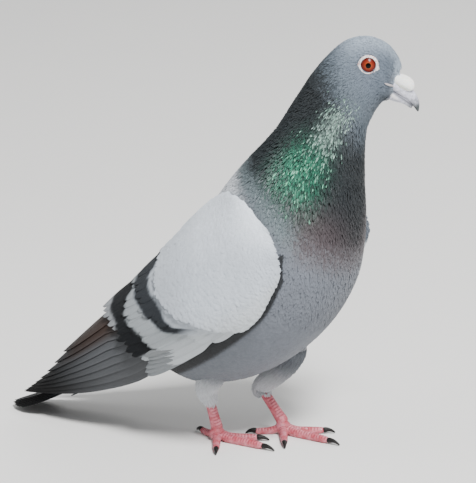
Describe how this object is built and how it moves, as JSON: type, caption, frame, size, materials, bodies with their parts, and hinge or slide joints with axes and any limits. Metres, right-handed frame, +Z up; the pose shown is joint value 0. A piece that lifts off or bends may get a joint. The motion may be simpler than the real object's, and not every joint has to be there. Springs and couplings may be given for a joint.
{
  "type": "pigeon model",
  "caption": "Life-size model of a feral rock pigeon standing in mid-stride with its head turned, wings folded and tail closed.",
  "frame": {"origin": "centre of the footprint box, on the floor that the feet stand on", "axes": "+X the way the body faces, from tail to breast; +Y the bird's left side; +Z up"},
  "size_m": [0.2418, 0.1152, 0.23],
  "materials": {
    "body_feathers": "matt grey contour feathers with a purplish sheen over the breast",
    "neck_feathers": "dark charcoal feathers with a green gloss, silver tips higher up and purple at the lower edge",
    "head_feathers": "short matt blue-grey feathers",
    "wing_feathers": "matt pale grey coverts with two charcoal bars and grey flight feathers",
    "tail_feathers": "matt dark grey tail feathers with a darker end band",
    "thigh_feathers": "soft whitish grey short feathers",
    "leg_scales": "satin pink-red scaled skin with pale scale edges",
    "claw_horn": "black horn, satin",
    "bill_horn": "pale blue-grey horn, dark along the mouth and at the tip, satin",
    "cere_skin": "chalky white bare skin",
    "eye_glass": "clear glossy eye, orange-red iris and black pupil"
  },
  "bodies": {
    "root": {"cere": "cere_skin", "claw_hind_left": "claw_horn", "claw_hind_right": "claw_horn", "claw_inner_left": "claw_horn", "claw_inner_right": "claw_horn", "claw_middle_left": "claw_horn", "claw_middle_right": "claw_horn", "claw_outer_left": "claw_horn", "claw_outer_right": "claw_horn", "eye_left": "eye_glass", "eye_right": "eye_glass", "head": "head_feathers", "lower_bill": "bill_horn", "neck": "neck_feathers", "tail": "tail_feathers", "tarsus_left": "leg_scales", "tarsus_right": "leg_scales", "thigh_left": "thigh_feathers", "thigh_right": "thigh_feathers", "toe_hind_left": "leg_scales", "toe_hind_right": "leg_scales", "toe_inner_left": "leg_scales", "toe_inner_right": "leg_scales", "toe_middle_left": "leg_scales", "toe_middle_right": "leg_scales", "toe_outer_left": "leg_scales", "toe_outer_right": "leg_scales", "torso": "body_feathers", "upper_bill": "bill_horn", "wing_left": "wing_feathers", "wing_right": "wing_feathers"}
  },
  "joints": []
}
